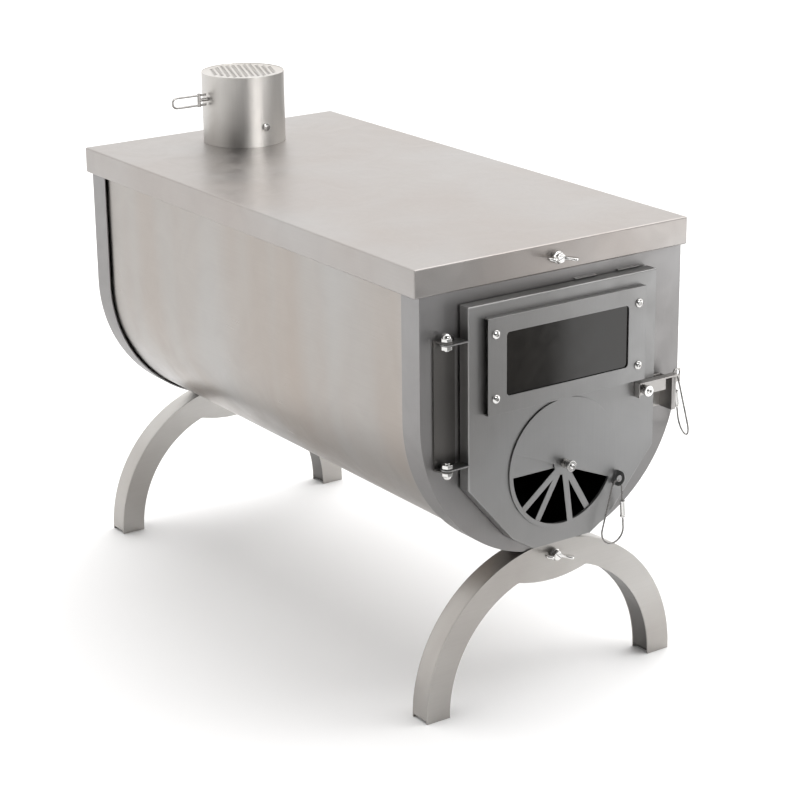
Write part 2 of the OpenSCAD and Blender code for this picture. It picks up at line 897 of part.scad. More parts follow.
// One ring of points square to the path, its first axis nearest to the side vector
function ring_at(p, i, closed, side, r, sides) =
    let (
        d = along(p, i, closed),
        u = unit(side - (side * d) * d),
        v = cross(d, u)
    )
    [for (k = [0 : sides - 1]) p[i] + r * (cos(k * 360 / sides) * u + sin(k * 360 / sides) * v)];

// A tube swept along a path, with flat ends or joined to a loop
module tube(p, side, r, sides, closed) {
    n = len(p);
    points = [for (i = [0 : n - 1]) each ring_at(p, i, closed, side, r, sides)];
    last = closed ? n - 1 : n - 2;
    walls = [
        for (i = [0 : last], k = [0 : sides - 1])
            let (
                a = i * sides + k,
                b = i * sides + (k + 1) % sides,
                c = ((i + 1) % n) * sides + (k + 1) % sides,
                d = ((i + 1) % n) * sides + k
            )
            each [[a, c, b], [a, d, c]]
    ];
    ends = closed ? [] : concat(
        [for (k = [1 : sides - 2]) [0, k, k + 1]],
        [for (k = [1 : sides - 2]) let (o = (n - 1) * sides) [o, o + k + 1, o + k]]
    );
    polyhedron(points = points, faces = concat(walls, ends));
}

spring_y0 = pivot_nut_y + spring_wire_r + thread_gap;
disc_spring_y1 = disc_y0 - run_gap - spring_wire_r;
latch_spring_y1 = latch_y - run_gap - spring_wire_r;

// Least distance between a spring's wire and its next curl
function coil_gap(p) = min([
    for (i = [0 : len(p) - 1 - spring_rings])
        for (j = [i + spring_rings / 2 : len(p) - 1])
            norm(p[i] - p[j])
]) - 2 * spring_wire_r;

echo(disc_spring_gap = coil_gap(coil_path(spring_y0, disc_spring_y1)));
echo(latch_spring_gap = coil_gap(coil_path(spring_y0, latch_spring_y1)));

module spring(y1) {
    color([0.6, 0.6, 0.62])
        tube(coil_path(spring_y0, y1), [0, 1, 0], spring_wire_r, spring_sides, false);
}

module disc_bolt() {
    front() translate([0, 0, air_z]) pivot_bolt();
}

module disc_spring() {
    front() translate([0, 0, air_z]) spring(disc_spring_y1);
}

module disc_nut() {
    front() translate([0, 0, air_z]) pivot_nut();
}

module latch_bolt() {
    front() translate([latch_x, 0, latch_z]) pivot_bolt();
}

module latch_spring() {
    front() translate([latch_x, 0, latch_z]) spring(latch_spring_y1);
}

module latch_nut() {
    front() translate([latch_x, 0, latch_z]) pivot_nut();
}

// An arc about c from angle a0 to a1, angles from straight up towards +X
function arc(c, r, a0, a1) = [
    for (i = [0 : ring_arc_steps])
        let (a = a0 + (a1 - a0) * i / ring_arc_steps)
        [c[0] + r * sin(a), 0, c[1] + r * cos(a)]
];

// A pull ring hangs from its upper arc, whose middle is the origin it swings about
function ring_path() = concat(
    arc([0, 0], ring_top_r, -90 + ring_lean, 90 - ring_lean),
    arc([0, -ring_axis_l], ring_low_r, 90 - ring_lean, 270 + ring_lean)
);

module pull_ring() {
    color([0.75, 0.75, 0.76])
        tube(ring_path(), [0, 1, 0], ring_wire_r, ring_sides, true);
}

// The screw barrel on a ring's right strand
module ring_barrel() {
    a = 90 - ring_lean;
    top = ring_top_r * [sin(a), cos(a)];
    low = [0, -ring_axis_l] + ring_low_r * [sin(a), cos(a)];
    mid = top + barrel_share * (low - top) + (low - top) * barrel_l / 2 / norm(low - top) / 2;
    color([0.85, 0.85, 0.86])
    translate([mid[0], 0, mid[1]]) rotate([0, -ring_lean, 0]) difference() {
        union() {
            cylinder(r = barrel_r, h = barrel_l, center = true);
            for (s = [-1, 1])
                translate([0, 0, s * (barrel_l / 2 - barrel_cap_l / 2)])
                    cylinder(r = barrel_cap_r, h = barrel_cap_l, center = true);
        }
        cylinder(r = ring_wire_r + thread_gap, h = barrel_l + 2 * cut, center = true);
    }
}

// Places a ring in the hole of the disc's ear
module at_ear() {
    r = disc_r + ear_out - disc_t / 2;
    hole = [r * cos(ear_angle), r * sin(ear_angle)];
    mid = hole + (ring_top_r + ear_seat) * [sin(ear_angle), -cos(ear_angle)];
    front() translate([mid[0], ear_hole_y, air_z + mid[1]])
        rotate([0, disc_ring_tilt, 0]) children();
}

module disc_ring() {
    at_ear() pull_ring();
}

module disc_ring_barrel() {
    at_ear() ring_barrel();
}

// The hole for the ring in the latch arm's tip, from the latch bolt
latch_eye = [latch_reach - latch_tip_w / 2, latch_h / 2 + latch_tip_rise - latch_tip_w / 2];

// The latch arm: a web with a hook notch, a bent upper lip and a bent tail
module latch_arm() {
    low = -latch_h / 2;
    top = latch_h / 2;
    tip_x = latch_reach - latch_tip_w;
    web = [
        [-latch_tail, low],
        [tip_x - latch_notch_w, low],
        [tip_x - latch_notch_w, low + latch_notch_h],
        [tip_x, low + latch_notch_h],
        [tip_x, low + latch_tip_lift],
        [latch_reach, low + latch_tip_lift],
        [latch_reach, top + latch_tip_rise],
        [tip_x + latch_tip_w / 6, top + latch_tip_rise],
        [tip_x, top],
        [-latch_tail, top]
    ];
    color([0.6, 0.6, 0.6])
    front() translate([latch_x, 0, latch_z]) difference() {
        union() {
            sheet(latch_y, latch_t) polygon(web);
            translate([-latch_tail, latch_y - latch_lip, top - latch_t])
                cube([tip_x + latch_tail, latch_lip + latch_t / 2, latch_t]);
            translate([-latch_tail, latch_y - latch_tail_lip, low])
                cube([latch_t, latch_tail_lip + latch_t / 2, latch_h - latch_t / 2]);
        }
        bar(pivot_r + turn_gap, latch_y - cut, latch_back_y + cut);
        translate([latch_eye[0], 0, latch_eye[1]])
            bar(latch_eye_r, latch_y - cut, latch_back_y + cut);
    }
}

// Places a ring in the eye of the latch arm
module at_latch_eye() {
    front() translate([
        latch_x + latch_eye[0],
        latch_back_y - latch_t / 2,
        latch_z + latch_eye[1] - ring_top_r - eye_seat
    ]) rotate([0, 0, latch_ring_turn]) rotate([latch_ring_tilt, 0, 0]) children();
}

module latch_ring() {
    at_latch_eye() pull_ring();
}

module latch_ring_barrel() {
    at_latch_eye() ring_barrel();
}

// The keeper: a base on the end plate and a flange with a lip that holds the arm
module keeper() {
    z0 = keeper_top_z - keeper_h;
    color([0.55, 0.55, 0.56])
    front() translate([keeper_x, 0, z0]) {
        translate([-keeper_w, plate_y - keeper_t, 0]) cube([keeper_w, keeper_t, keeper_h]);
        translate([-keeper_t, keeper_y, 0]) cube([keeper_t, plate_y - keeper_y, keeper_h]);
        translate([-keeper_t, keeper_y, 0]) cube([keeper_lip + keeper_t, keeper_t, keeper_h]);
    }
}

// The collar that rises through the lid, with a flange under it
module flue_collar() {
    color([0.7, 0.7, 0.7])
    front() translate([0, flue_y, lid_under_z - flue_t]) difference() {
        union() {
            cylinder(r = collar_r, h = collar_h + flue_t);
            cylinder(r = collar_r + collar_flange_w, h = flue_t);
        }
        translate([0, 0, -cut]) cylinder(r = collar_r - flue_t, h = collar_h + flue_t + 2 * cut);
        translate([0, 0, flue_screw_z - lid_under_z + flue_t]) bar_back(screw_r + screw_gap);
    }
}

// A round bar from the flue's axis towards the door
module bar_back(r) {
    bar(r, -flue_r - cut, 0);
}

// The sleeve on the collar, with holes for the lock screw and the damper spindle
module flue_sleeve() {
    color([0.85, 0.84, 0.83])
    front() translate([0, flue_y, 0]) difference() {
        translate([0, 0, lid_top_z]) cylinder(r = flue_r, h = flue_h, $fn = 128);
        translate([0, 0, lid_top_z - cut])
            cylinder(r = flue_r - flue_t, h = flue_h + 2 * cut, $fn = 128);
        translate([0, 0, flue_screw_z]) bar_back(screw_r + screw_gap);
        translate([-flue_r - cut, 0, damper_z]) rotate([0, 90, 0])
            cylinder(r = spindle_r + turn_gap, h = 2 * flue_r + 2 * cut);
    }
}

// The perforated disc in the sleeve's mouth
module spark_screen() {
    r = flue_r - flue_t;
    n = floor(r / slot_step);
    m = floor(r / slot_row);
    z = lid_top_z + flue_h - screen_sink - screen_t;
    color([0.75, 0.75, 0.75])
    front() translate([0, flue_y, z]) linear_extrude(height = screen_t) difference() {
        circle(r, $fn = 128);
        rotate(slot_turn)
            for (j = [-m : m], i = [-n : n])
                let (p = [(i + (abs(j) % 2) / 2) * slot_step, j * slot_row])
                if (norm(p) < r - screen_margin - slot_l / 2)
                    translate(p) square([slot_l, slot_w], center = true);
    }
}

// The screw that locks the sleeve to the collar
module flue_screw() {
    color([0.85, 0.85, 0.86])
    front() translate([0, flue_y - flue_r, flue_screw_z]) {
        bar(flue_screw_head_r, -flue_screw_head_h, 0);
        bar(screw_r + thread_gap, -flue_screw_head_h - thread_out, flue_screw_in);
    }
}

// The damper spindle, with a wire loop for a handle on the left
module damper_spindle() {
    x1 = flue_r + thread_out;
    bar_x = -flue_r - handle_bar_out;
    start_x = -flue_r - handle_gap;
    tip_x = -flue_r - handle_l + handle_half_h;
    color([0.8, 0.8, 0.8])
    front() translate([0, flue_y, damper_z]) {
        translate([bar_x, 0, 0]) rotate([0, 90, 0]) cylinder(r = spindle_r, h = x1 - bar_x);
        translate([bar_x, 0, -handle_half_h - handle_bar_r])
            cylinder(r = handle_bar_r, h = 2 * (handle_half_h + handle_bar_r));
        for (s = [-1, 1])
            translate([tip_x, 0, s * handle_half_h]) rotate([0, 90, 0])
                cylinder(r = handle_wire_r, h = start_x - tip_x);
        translate([tip_x, 0, 0]) rotate([90, 0, 0]) rotate(90)
            rotate_extrude(angle = 180) translate([handle_half_h, 0]) circle(handle_wire_r);
    }
}

// The damper plate, an eye along its middle goes on the spindle
module damper_plate() {
    r = flue_r - flue_t - damper_play;
    color([0.5, 0.5, 0.5])
    front() translate([0, flue_y, damper_z]) difference() {
        union() {
            sheet(-damper_t / 2, damper_t) intersection() {
                circle(r);
                square([2 * r, 2 * damper_half_h], center = true);
            }
            translate([-damper_eye_l / 2, 0, 0]) rotate([0, 90, 0])
                cylinder(r = damper_eye_r, h = damper_eye_l);
        }
        translate([-flue_r, 0, 0]) rotate([0, 90, 0])
            cylinder(r = spindle_r + seat_play, h = 2 * flue_r);
    }
}

lid();
front_plate();
rear_plate();
side_sheet();
front_leg_face();
front_leg_back();
front_leg_outer_strip();
front_leg_inner_strip();
rear_leg_face();
rear_leg_back();
rear_leg_outer_strip();
rear_leg_inner_strip();
lid_wing_bolts();
lid_bolt_nuts();
leg_wing_bolts();
leg_bolt_nuts();
hinge_bracket();
hinge_bolts();
hinge_acorn_nuts();
hinge_lock_nuts();
door_pan();
window_cover();
window_glass();
window_screws();
window_nuts();
air_disc();
disc_bolt();
disc_spring();
disc_nut();
disc_ring();
disc_ring_barrel();
latch_arm();
latch_bolt();
latch_spring();
latch_nut();
latch_ring();
latch_ring_barrel();
keeper();
flue_collar();
flue_sleeve();
spark_screen();
flue_screw();
damper_spindle();
damper_plate();
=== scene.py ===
"""Tent wood stove: finished sheet metal, fasteners and cable rings on a pale studio floor."""

import json
import math

import bmesh
import bpy
from bpy.props import FloatProperty, FloatVectorProperty, PointerProperty
from bpy.types import Operator, Panel, PropertyGroup
from mathutils import Matrix, Vector


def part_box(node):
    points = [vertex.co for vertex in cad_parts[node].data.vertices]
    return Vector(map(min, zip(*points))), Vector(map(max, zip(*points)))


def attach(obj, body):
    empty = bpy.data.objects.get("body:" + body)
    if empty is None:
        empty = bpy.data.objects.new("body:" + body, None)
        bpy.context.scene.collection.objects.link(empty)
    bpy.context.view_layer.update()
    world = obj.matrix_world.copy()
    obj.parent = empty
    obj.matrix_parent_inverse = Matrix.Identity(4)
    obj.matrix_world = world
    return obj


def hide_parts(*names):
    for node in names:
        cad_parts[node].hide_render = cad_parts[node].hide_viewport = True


bl_info = {
    "name": "Tent wood stove",
    "version": (1, 0, 0),
    "blender": (4, 5, 0),
    "location": "View3D > Sidebar > Stove",
    "description": "Builds the finish of a folding tent stove and its studio stage",
    "category": "Object",
}

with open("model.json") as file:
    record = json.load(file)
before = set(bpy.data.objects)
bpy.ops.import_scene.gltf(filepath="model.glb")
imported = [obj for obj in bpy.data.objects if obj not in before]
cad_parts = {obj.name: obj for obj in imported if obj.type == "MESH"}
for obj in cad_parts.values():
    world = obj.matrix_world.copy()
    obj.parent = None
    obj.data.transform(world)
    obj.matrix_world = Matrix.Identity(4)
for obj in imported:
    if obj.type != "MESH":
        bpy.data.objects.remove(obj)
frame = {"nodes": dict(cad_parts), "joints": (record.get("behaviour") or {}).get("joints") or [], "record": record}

MM = 0.001
# Points closer than this to a plane lie on it, and points closer than a weld are one
ON_PLANE = 0.01 * MM
WELD = 0.002 * MM
SHARP = 35
BODY_OF = {
    node: body
    for body, nodes in frame["record"]["behaviour"]["bodies"].items()
    for node in nodes
}
JOINT = {joint["name"]: joint for joint in frame["joints"]}
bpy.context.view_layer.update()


def linear(code):
    """An sRGB hex colour as linear red, green and blue."""
    parts = [int(code[i:i + 2], 16) / 255 for i in (1, 3, 5)]
    return tuple(c / 12.92 if c <= 0.04045 else ((c + 0.055) / 1.055) ** 2.4 for c in parts)


class StoveSizes(PropertyGroup):
    """Small sizes of the sheet metal and the wire, which the finish adds to the solids."""

    sheet_edge: FloatProperty(
        name="Sheet edge", description="Radius on a cut sheet edge",
        default=0.22 * MM, unit="LENGTH")
    fold: FloatProperty(
        name="Fold", description="Outer radius of a pressed or folded corner",
        default=1.1 * MM, unit="LENGTH")
    casting_edge: FloatProperty(
        name="Casting edge", description="Radius on the cast wing bolts",
        default=0.55 * MM, unit="LENGTH")
    turned_edge: FloatProperty(
        name="Turned edge", description="Radius on nuts and screws",
        default=0.28 * MM, unit="LENGTH")
    spring_wire: FloatProperty(
        name="Spring wire", description="Radius of the spring wire",
        default=0.34 * MM, unit="LENGTH")
    cable: FloatProperty(
        name="Cable", description="Radius of the rings' steel cable",
        default=0.6 * MM, unit="LENGTH")
    cable_lay: FloatProperty(
        name="Cable lay", description="Length of one turn of a strand round the cable",
        default=5.5 * MM, unit="LENGTH")


class StoveColours(PropertyGroup):
    """Colours of the metal sheets, the bright fasteners and the glass."""

    lid: FloatVectorProperty(
        name="Lid", description="Colour of the lid's sheet",
        subtype="COLOR", size=3, min=0, max=1, default=linear("#a3a09e"))
    side: FloatVectorProperty(
        name="Side", description="Colour of the rolled side sheet",
        subtype="COLOR", size=3, min=0, max=1, default=linear("#a09e9c"))
    plate: FloatVectorProperty(
        name="Plates", description="Colour of the end plates",
        subtype="COLOR", size=3, min=0, max=1, default=linear("#8f8e8e"))
    door: FloatVectorProperty(
        name="Door", description="Colour of the door and its disc",
        subtype="COLOR", size=3, min=0, max=1, default=linear("#959595"))
    legs: FloatVectorProperty(
        name="Legs", description="Colour of the legs",
        subtype="COLOR", size=3, min=0, max=1, default=linear("#bab8b5"))
    flue: FloatVectorProperty(
        name="Flue", description="Colour of the flue sheet",
        subtype="COLOR", size=3, min=0, max=1, default=linear("#bfbdba"))
    fittings: FloatVectorProperty(
        name="Fittings", description="Colour of the hinge, latch and keeper",
        subtype="COLOR", size=3, min=0, max=1, default=linear("#b2b0ae"))
    bright: FloatVectorProperty(
        name="Fasteners", description="Colour of the polished fasteners",
        subtype="COLOR", size=3, min=0, max=1, default=linear("#dedddb"))
    glass: FloatVectorProperty(
        name="Glass", description="Colour of the dark window",
        subtype="COLOR", size=3, min=0, max=1, default=linear("#16130f"))


class StoveStage(PropertyGroup):
    """The studio: floor colour and the strength of the soft lights."""

    floor: FloatVectorProperty(
        name="Floor", description="Colour of the paper floor",
        subtype="COLOR", size=3, min=0, max=1, default=linear("#f4f4f4"))
    sky: FloatProperty(
        name="Surround", description="Strength of the white surround",
        default=1.3, min=0)
    overhead: FloatProperty(
        name="Overhead light", description="Strength of the broad light from above",
        default=2.1, min=0)
    side: FloatProperty(
        name="Side light", description="Power of the soft box on the right",
        default=0.5, min=0, unit="POWER")
    flue_side: FloatProperty(
        name="Flue light", description="Power of the soft box beside the flue",
        default=0.75, min=0, unit="POWER")


def add_node(tree, kind, inputs=None, **settings):
    """Adds a shader node with its settings, and sets or links its inputs."""
    node = tree.nodes.new(kind)
    for name, value in settings.items():
        setattr(node, name, value)
    for name, value in (inputs or {}).items():
        if isinstance(value, bpy.types.NodeSocket):
            tree.links.new(value, node.inputs[name])
        else:
            node.inputs[name].default_value = value
    return node


def new_material(name):
    """An empty node material with an output, and its tree."""
    material = bpy.data.materials.new(name)
    material.use_nodes = True
    material.node_tree.nodes.clear()
    return material, material.node_tree


def four(colour):
    return (*colour, 1.0)


# Patterns are given in waves to the metre. Drift of tone along X, Y and Z, stains and streaks:
EVEN_DRIFT = (9.0, 9.0, 9.0)
# Upright streaks: partly stains, partly painted reflection streaks on the side sheet and the flue
UPRIGHT_STAINS_AND_SHEEN = (14.0, 14.0, 2.0)
# Smudges of handling, about 30 mm; pickling grain, 0.4 mm
SMUDGES = 34.0
PICKLING = 2400.0
# Dents of tumbled steel, about 1 mm; its haze, about 3 mm
DENTS = 900.0
HAZE = 320.0
# Soot film on the glass, in clouds of about 15 mm; fibre of the paper, about 1 mm
SOOT = 60.0
FIBRE = 900.0


def satin_sheet(name, colour, warm, grain, roughness, grain_depth=0.25, drift=EVEN_DRIFT):
    """Cold-rolled steel sheet with a satin finish: soft reflections, faint rolling lines,
    a slow drift of tone and smudges in the gloss."""
    material, tree = new_material(name)
    place = add_node(tree, "ShaderNodeTexCoord").outputs["Object"]
    # Rolling lines are about 0.05 mm apart, drawn about 0.7 mm apart so that they show
    stretch = add_node(tree, "ShaderNodeMapping", {"Vector": place, "Scale": grain})
    lines = add_node(
        tree, "ShaderNodeTexNoise",
        {"Vector": stretch.outputs["Vector"], "Scale": 1.0, "Detail": 4.0, "Roughness": 0.6})
    # Handling marks and rolling stains drift over 60 to 120 mm
    # The upright drift stretches this into tall streaks, partly stains and partly painted reflection streaks
    slow = add_node(tree, "ShaderNodeMapping", {"Vector": place, "Scale": drift})
    stain = add_node(
        tree, "ShaderNodeTexNoise",
        {"Vector": slow.outputs["Vector"], "Scale": 1.0, "Detail": 2.0, "Roughness": 0.5,
         "Distortion": 0.4})
    smudge = add_node(
        tree, "ShaderNodeTexNoise",
        {"Vector": place, "Scale": SMUDGES, "Detail": 5.0, "Roughness": 0.62, "Distortion": 1.2})
    grit = add_node(
        tree, "ShaderNodeTexNoise",
        {"Vector": place, "Scale": PICKLING, "Detail": 2.0, "Roughness": 0.5})
    tone = add_node(tree, "ShaderNodeValToRGB", {"Fac": stain.outputs["Fac"]})
    tone.color_ramp.elements[0].position = 0.32
    tone.color_ramp.elements[0].color = four(warm)
    tone.color_ramp.elements[1].position = 0.66
    tone.color_ramp.elements[1].color = four(colour)
    lined = add_node(
        tree, "ShaderNodeMapRange",
        {"Value": lines.outputs["Fac"], "From Min": 0.3, "From Max": 0.7,
         "To Min": 0.965, "To Max": 1.025})
    grey = add_node(tree, "ShaderNodeCombineColor", {
        "Red": lined.outputs["Result"],
        "Green": lined.outputs["Result"],
        "Blue": lined.outputs["Result"]})
    shade = add_node(
        tree, "ShaderNodeMix",
        {0: 1.0, 6: tone.outputs["Color"], 7: grey.outputs["Color"]},
        data_type="RGBA", blend_type="MULTIPLY")
    rough_lines = add_node(
        tree, "ShaderNodeMapRange",
        {"Value": lines.outputs["Fac"], "From Min": 0.3, "From Max": 0.7,
         "To Min": roughness - 0.035, "To Max": roughness + 0.035})
    rough = add_node(
        tree, "ShaderNodeMapRange",
        {"Value": smudge.outputs["Fac"], "From Min": 0.35, "From Max": 0.7,
         "To Min": -0.03, "To Max": 0.06})
    rough_sum = add_node(
        tree, "ShaderNodeMath",
        {0: rough_lines.outputs["Result"], 1: rough.outputs["Result"]}, operation="ADD")
    bump_lines = add_node(
        tree, "ShaderNodeBump",
        {"Height": lines.outputs["Fac"], "Strength": grain_depth, "Distance": 0.00002})
    bump_grit = add_node(
        tree, "ShaderNodeBump",
        {"Height": grit.outputs["Fac"], "Strength": 0.06, "Distance": 0.00002,
         "Normal": bump_lines.outputs["Normal"]})
    shader = add_node(tree, "ShaderNodeBsdfPrincipled", {
        "Base Color": shade.outputs[2],
        "Metallic": 1.0,
        "Roughness": rough_sum.outputs["Value"],
        "Normal": bump_grit.outputs["Normal"]})
    add_node(tree, "ShaderNodeOutputMaterial", {"Surface": shader.outputs["BSDF"]})
    return material


def polished_steel(name, colour, roughness):
    """Stainless fasteners, turned or cast and then tumbled bright: sharp reflections with
    small dents and a light haze."""
    material, tree = new_material(name)
    place = add_node(tree, "ShaderNodeTexCoord").outputs["Object"]
    dents = add_node(
        tree, "ShaderNodeTexNoise", {"Vector": place, "Scale": DENTS, "Detail": 3.0})
    haze = add_node(
        tree, "ShaderNodeTexNoise", {"Vector": place, "Scale": HAZE, "Detail": 4.0})
    rough = add_node(
        tree, "ShaderNodeMapRange",
        {"Value": haze.outputs["Fac"], "From Min": 0.35, "From Max": 0.65,
         "To Min": roughness * 0.7, "To Max": roughness * 1.6})
    tone = add_node(tree, "ShaderNodeValToRGB", {"Fac": haze.outputs["Fac"]})
    tone.color_ramp.elements[0].color = four([c * 0.82 for c in colour])
    tone.color_ramp.elements[1].color = four(colour)
    bump = add_node(
        tree, "ShaderNodeBump",
        {"Height": dents.outputs["Fac"], "Strength": 0.3, "Distance": 0.00003})
    shader = add_node(tree, "ShaderNodeBsdfPrincipled", {
        "Base Color": tone.outputs["Color"],
        "Metallic": 1.0,
        "Roughness": rough.outputs["Result"],
        "Normal": bump.outputs["Normal"]})
    add_node(tree, "ShaderNodeOutputMaterial", {"Surface": shader.outputs["BSDF"]})
    return material


def ceramic_glass(name, colour):
    """Dark ceramic glass, drawn flat: near black, with a clean reflection and faint soot."""
    material, tree = new_material(name)
    place = add_node(tree, "ShaderNodeTexCoord").outputs["Object"]
    film = add_node(
        tree, "ShaderNodeTexNoise",
        {"Vector": place, "Scale": SOOT, "Detail": 4.0, "Distortion": 1.5})
    tone = add_node(tree, "ShaderNodeValToRGB", {"Fac": film.outputs["Fac"]})
    tone.color_ramp.elements[0].color = four([c * 0.5 for c in colour])
    tone.color_ramp.elements[1].color = four([c * 1.7 for c in colour])
    rough = add_node(
        tree, "ShaderNodeMapRange",
        {"Value": film.outputs["Fac"], "To Min": 0.05, "To Max": 0.22})
    shader = add_node(tree, "ShaderNodeBsdfPrincipled", {
        "Base Color": tone.outputs["Color"],
        "Roughness": rough.outputs["Result"],
        "IOR": 1.47})
    add_node(tree, "ShaderNodeOutputMaterial", {"Surface": shader.outputs["BSDF"]})
    return material


# Painted shade: the paper darkens to the front and right of the stove as if the light fell off:
# the direction, how far out the darkening starts and is full, and what share of colour is left there
PAINTED_FALLOFF_SIDE = (0.7245, -0.6893, 0.0)
PAINTED_FALLOFF_START, PAINTED_FALLOFF_END = 0.34, 0.56
PAINTED_FALLOFF_SHARE = 0.22


def paper_floor(name, colour):
    """Matt studio paper, calendered, with a trace of fibre: its colour is painted shade, bright where
    the stove stands and darker towards the studio's open side, as if the light fell off there."""
    material, tree = new_material(name)
    place = add_node(tree, "ShaderNodeTexCoord").outputs["Object"]
    # Painted shade: the floor's colour darkens out to the front and right, where the light would fall off
    out = add_node(
        tree, "ShaderNodeVectorMath", {0: place, 1: PAINTED_FALLOFF_SIDE}, operation="DOT_PRODUCT")
    spread = add_node(
        tree, "ShaderNodeMapRange",
        {"Value": out.outputs["Value"], "From Min": PAINTED_FALLOFF_START, "From Max": PAINTED_FALLOFF_END},
        interpolation_type="SMOOTHSTEP")
    tone = add_node(tree, "ShaderNodeValToRGB", {"Fac": spread.outputs["Result"]})
    tone.color_ramp.elements[0].color = four(colour)
    tone.color_ramp.elements[1].color = four([c * PAINTED_FALLOFF_SHARE for c in colour])
    fibre = add_node(
        tree, "ShaderNodeTexNoise", {"Vector": place, "Scale": FIBRE, "Detail": 2.0})
    bump = add_node(
        tree, "ShaderNodeBump",
        {"Height": fibre.outputs["Fac"], "Strength": 0.05, "Distance": 0.00005})
    shader = add_node(tree, "ShaderNodeBsdfPrincipled", {
        "Base Color": tone.outputs["Color"],
        "Roughness": 0.85,
        "Normal": bump.outputs["Normal"]})
    add_node(tree, "ShaderNodeOutputMaterial", {"Surface": shader.outputs["BSDF"]})
    return material


# Stretch of the rolling lines: along Y, along X and along Z
GRAIN_Y = (1400.0, 18.0, 1400.0)
GRAIN_X = (18.0, 1400.0, 1400.0)
GRAIN_Z = (1400.0, 1400.0, 18.0)

FINISH = {}


def finishes():
    """The materials, made once from the scene's colours."""
    if FINISH:
        return FINISH
    c = bpy.context.scene.stove_colours
    warm = linear("#9b938c")
    FINISH.update({
        "lid": satin_sheet("satin_steel_lid", c.lid, linear("#9e9894"), GRAIN_Y, 0.36),
        "side": satin_sheet(
            "satin_steel_side", c.side, warm, GRAIN_Y, 0.33, 0.25, UPRIGHT_STAINS_AND_SHEEN),
        "plate": satin_sheet("satin_steel_plate", c.plate, linear("#868483"), GRAIN_Z, 0.40),
        "door": satin_sheet("satin_steel_door", c.door, linear("#8b8a89"), GRAIN_Z, 0.42),
        "legs": satin_sheet("satin_steel_legs", c.legs, linear("#a5a19d"), GRAIN_X, 0.38),
        # Painted shade: a darker steel for the legs' inner strips and the hinge bracket, where they stand in shade
        "painted_shade": satin_sheet(
            "painted_shade_steel", linear("#6f6d6b"), linear("#5d5b59"), GRAIN_Y, 0.4),
        "flue": satin_sheet(
            "satin_steel_flue", c.flue, linear("#b6b2ad"), GRAIN_Z, 0.42, 0.08, UPRIGHT_STAINS_AND_SHEEN),
        "fittings": satin_sheet(
            "satin_steel_fittings", c.fittings, linear("#a3a09d"), GRAIN_X, 0.36),
        "bright": polished_steel("tumbled_stainless", c.bright, 0.13),
        "spring": polished_steel("drawn_spring_steel", linear("#8d8b88"), 0.2),
        "cable": polished_steel("drawn_cable_steel", linear("#979593"), 0.26),
        "glass": ceramic_glass("dark_ceramic_glass", c.glass),
        "floor": paper_floor("studio_paper", bpy.context.scene.stove_stage.floor),
    })
    return FINISH


def finish_piece(bm, name, nodes, finish, smooth=32, weighted=True):
    """Turns a bmesh into a finished piece that stands for its CAD nodes."""
    mesh = bpy.data.meshes.new(name)
    bm.to_mesh(mesh)
    bm.free()
    mesh.polygons.foreach_set("use_smooth", [True] * len(mesh.polygons))
    mesh.set_sharp_from_angle(angle=math.radians(smooth))
    mesh.materials.append(finishes()[finish])
    piece = bpy.data.objects.new(name, mesh)
    bpy.context.scene.collection.objects.link(piece)
    if weighted:
        modifier = piece.modifiers.new("Even shading", "WEIGHTED_NORMAL")
        modifier.weight = 80
        modifier.keep_sharp = True
    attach(piece, BODY_OF[nodes[0]])
    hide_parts(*nodes)
    return piece


def merged_copy(node):
    """A CAD node's shape as a clean bmesh: doubles merged, flat faces joined."""
    bm = bmesh.new()
    bm.from_mesh(frame["nodes"][node].data)
    bmesh.ops.remove_doubles(bm, verts=bm.verts, dist=WELD)
    bmesh.ops.dissolve_limit(
        bm, angle_limit=math.radians(0.2), use_dissolve_boundaries=False,
        verts=bm.verts, edges=bm.edges)
    return bm


def round_edges(bm, edges, radius, segments):
    bmesh.ops.bevel(
        bm, geom=edges, offset=radius, offset_type="OFFSET", segments=segments,
        profile=0.5, affect="EDGES", clamp_overlap=False, loop_slide=True, material=-1)


def sharp_edges(bm, angle=SHARP):
    limit = math.radians(angle)
    return [e for e in bm.edges if len(e.link_faces) == 2 and e.calc_face_angle(0) > limit]


def dressed(node, finish, radius, segments=2, angle=SHARP):
    """A CAD node with its sharp edges rounded and its finish put on."""
    bm = merged_copy(node)
    if radius:
        round_edges(bm, sharp_edges(bm, angle), radius, segments)
    return finish_piece(bm, node + "_finished", [node], finish)


def folded_edges(bm, deep=3 * MM):
    """Edges of a pressed pan where its face, its largest flat, turns into its rim."""
    flats = [face for face in bm.faces if abs(face.normal.y) > 0.99]
    front = max(flats, key=lambda face: face.calc_area()).calc_center_median().y
    found = []
    for edge in bm.edges:
        if any(abs(v.co.y - front) > ON_PLANE for v in edge.verts):
            continue
        spans = [
            max(v.co.y for v in face.verts) - min(v.co.y for v in face.verts)
            for face in edge.link_faces]
        if len(spans) == 2 and max(spans) > deep and edge.calc_face_angle(0) > 1:
            found.append(edge)
    return found


def pressed(node, finish, fold, radius):
    """A pressed pan: its face folds softly into its rim, and its cut edges are rounded less."""
    bm = merged_copy(node)
    round_edges(bm, folded_edges(bm), fold, 4)
    round_edges(bm, sharp_edges(bm), radius, 2)
    return finish_piece(bm, node + "_finished", [node], finish)


def turned(profile, steps=48):
    """A bmesh turned about the Y axis from radius and depth pairs."""
    bm = bmesh.new()
    points = [bm.verts.new((r, y, 0)) for r, y in profile]
    edges = [bm.edges.new(pair) for pair in zip(points, points[1:])]
    bmesh.ops.spin(
        bm, geom=points + edges, cent=(0, 0, 0), axis=(0, 1, 0),
        angle=2 * math.pi, steps=steps, use_merge=True)
    bmesh.ops.remove_doubles(bm, verts=bm.verts, dist=WELD / 2)
    bmesh.ops.recalc_face_normals(bm, faces=bm.faces)
    return bm


